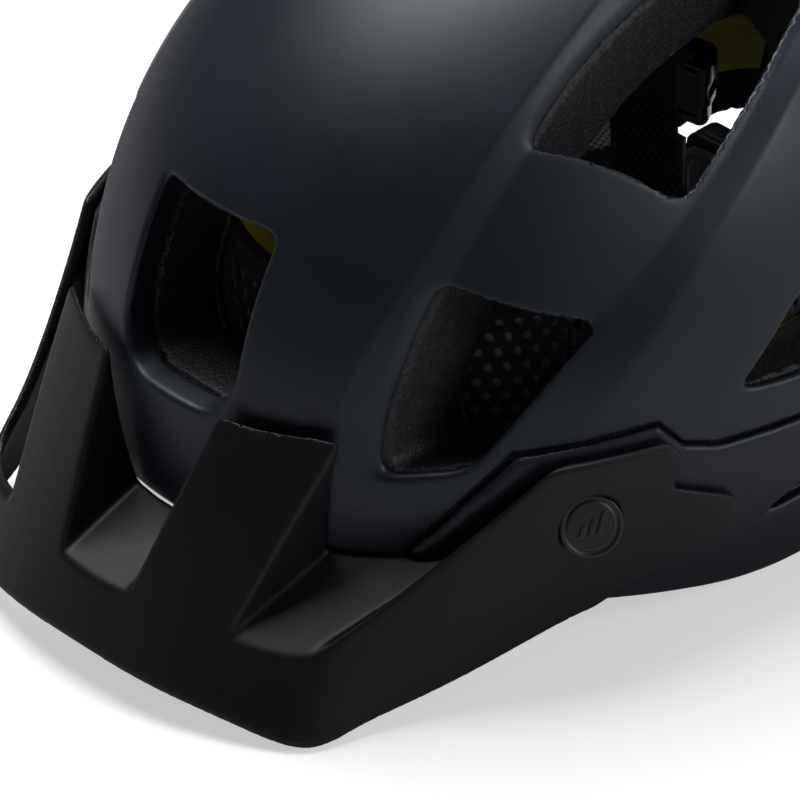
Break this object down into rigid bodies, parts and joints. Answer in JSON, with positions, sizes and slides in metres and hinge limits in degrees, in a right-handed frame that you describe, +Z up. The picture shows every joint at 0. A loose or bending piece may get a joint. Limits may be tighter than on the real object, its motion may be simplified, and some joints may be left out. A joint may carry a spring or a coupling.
{
  "type": "cycling helmet",
  "caption": "Half-shell mountain bike helmet with a tilting faceted visor, vented two-piece shell, foam liner, low-friction liner, pads, strap harness and dial-adjusted fit cradle.",
  "frame": {"origin": "on the ground under the middle of the helmet's overall length, with the helmet put down on its visor corners and side rims", "axes": "+Z up, -Y to the front of the helmet, +X to the wearer's left"},
  "size_m": [0.21, 0.3135, 0.1776],
  "materials": {
    "shell": "matte blue-black polycarbonate skin, fine satin grain",
    "wrap": "matte black polycarbonate, fine satin grain",
    "foam": "black expanded polystyrene foam with visible fused beads",
    "brass_insert": "threaded brass sleeve",
    "screw_steel": "zinc plated steel",
    "trim": "matte black moulded cap",
    "nylon": "black moulded nylon, light satin",
    "elastomer": "black elastomer",
    "visor_plastic": "matte black injection moulded visor, fine texture",
    "slip_yellow": "thin yellow polycarbonate low-friction liner",
    "hook_tape": "black hook tape",
    "dial_plastic": "black soft-touch dial with finger grooves",
    "buckle_plastic": "black acetal, slightly glossy",
    "pad_fabric": "black perforated spacer mesh over foam",
    "webbing": "black woven polyester webbing"
  },
  "bodies": {
    "helmet": {"upper_shell": "shell", "lower_shell": "wrap", "eps_liner": "foam", "pivot_inserts": "brass_insert", "pivot_screws": "screw_steel", "strap_anchors": "nylon", "liner_plugs": "elastomer", "divider_left": "nylon", "divider_right": "nylon", "strap_front_left": "webbing", "strap_front_right": "webbing", "strap_rear_left": "webbing", "strap_rear_right": "webbing", "chin_strap_left": "webbing", "chin_strap_right": "webbing", "buckle_socket": "buckle_plastic", "buckle_plug": "buckle_plastic"},
    "visor": {"visor": "visor_plastic", "pivot_cap_left": "trim", "pivot_cap_right": "trim"},
    "slip": {"slip_liner": "slip_yellow", "brow_pad": "pad_fabric", "temple_pad_left": "pad_fabric", "temple_pad_right": "pad_fabric", "crown_pad": "pad_fabric", "side_pad_left": "pad_fabric", "side_pad_right": "pad_fabric", "pad_dots": "hook_tape", "cradle_guide": "nylon"},
    "cradle": {"dial_housing": "nylon", "housing_cover": "nylon", "cradle_pad": "pad_fabric"},
    "dial": {"dial_pinion": "nylon", "dial_knob": "dial_plastic"},
    "band_left": {"band_left": "nylon"},
    "band_right": {"band_right": "nylon"},
    "cam_left": {"cam_left": "nylon"},
    "cam_right": {"cam_right": "nylon"}
  },
  "joints": [
    {"name": "visor_tilt", "type": "hinge", "parent": "helmet", "child": "visor", "pos_m": [0, -0.06159, 0.0457], "axis": [-1, 0, 0], "range_deg": [0, 8]},
    {"name": "slip_turn", "type": "hinge", "parent": "helmet", "child": "slip", "pos_m": [0, 0.01621, 0.057], "axis": [0, 0, 1], "range_deg": [-2, 2], "stiffness_Nm_per_rad": 2},
    {"name": "cradle_height", "type": "slide", "parent": "slip", "child": "cradle", "axis": [0, 0.2199, 0.9755], "range_m": [0, 0.01]},
    {"name": "dial_turn", "type": "hinge", "parent": "cradle", "child": "dial", "pos_m": [0, 0.10721, 0.024], "axis": [0, -1, 0], "range_deg": [0, 68]},
    {"name": "band_left_slide", "type": "slide", "parent": "cradle", "child": "band_left", "axis": [-1, 0, 0], "range_m": [0, 0.006]},
    {"name": "band_right_slide", "type": "slide", "parent": "cradle", "child": "band_right", "axis": [1, 0, 0], "range_m": [0, 0.006]},
    {"name": "cam_left_flip", "type": "hinge", "parent": "helmet", "child": "cam_left", "pos_m": [0.04, 0.02641, 0.018], "axis": [0, 0, -1], "range_deg": [0, 80]},
    {"name": "cam_right_flip", "type": "hinge", "parent": "helmet", "child": "cam_right", "pos_m": [-0.04, 0.02641, 0.018], "axis": [0, 0, 1], "range_deg": [0, 80]}
  ],
  "couplings": [
    {"joint": "band_left_slide", "follows": "dial_turn", "m_per_rad": 0.005},
    {"joint": "band_right_slide", "follows": "dial_turn", "m_per_rad": 0.005}
  ]
}
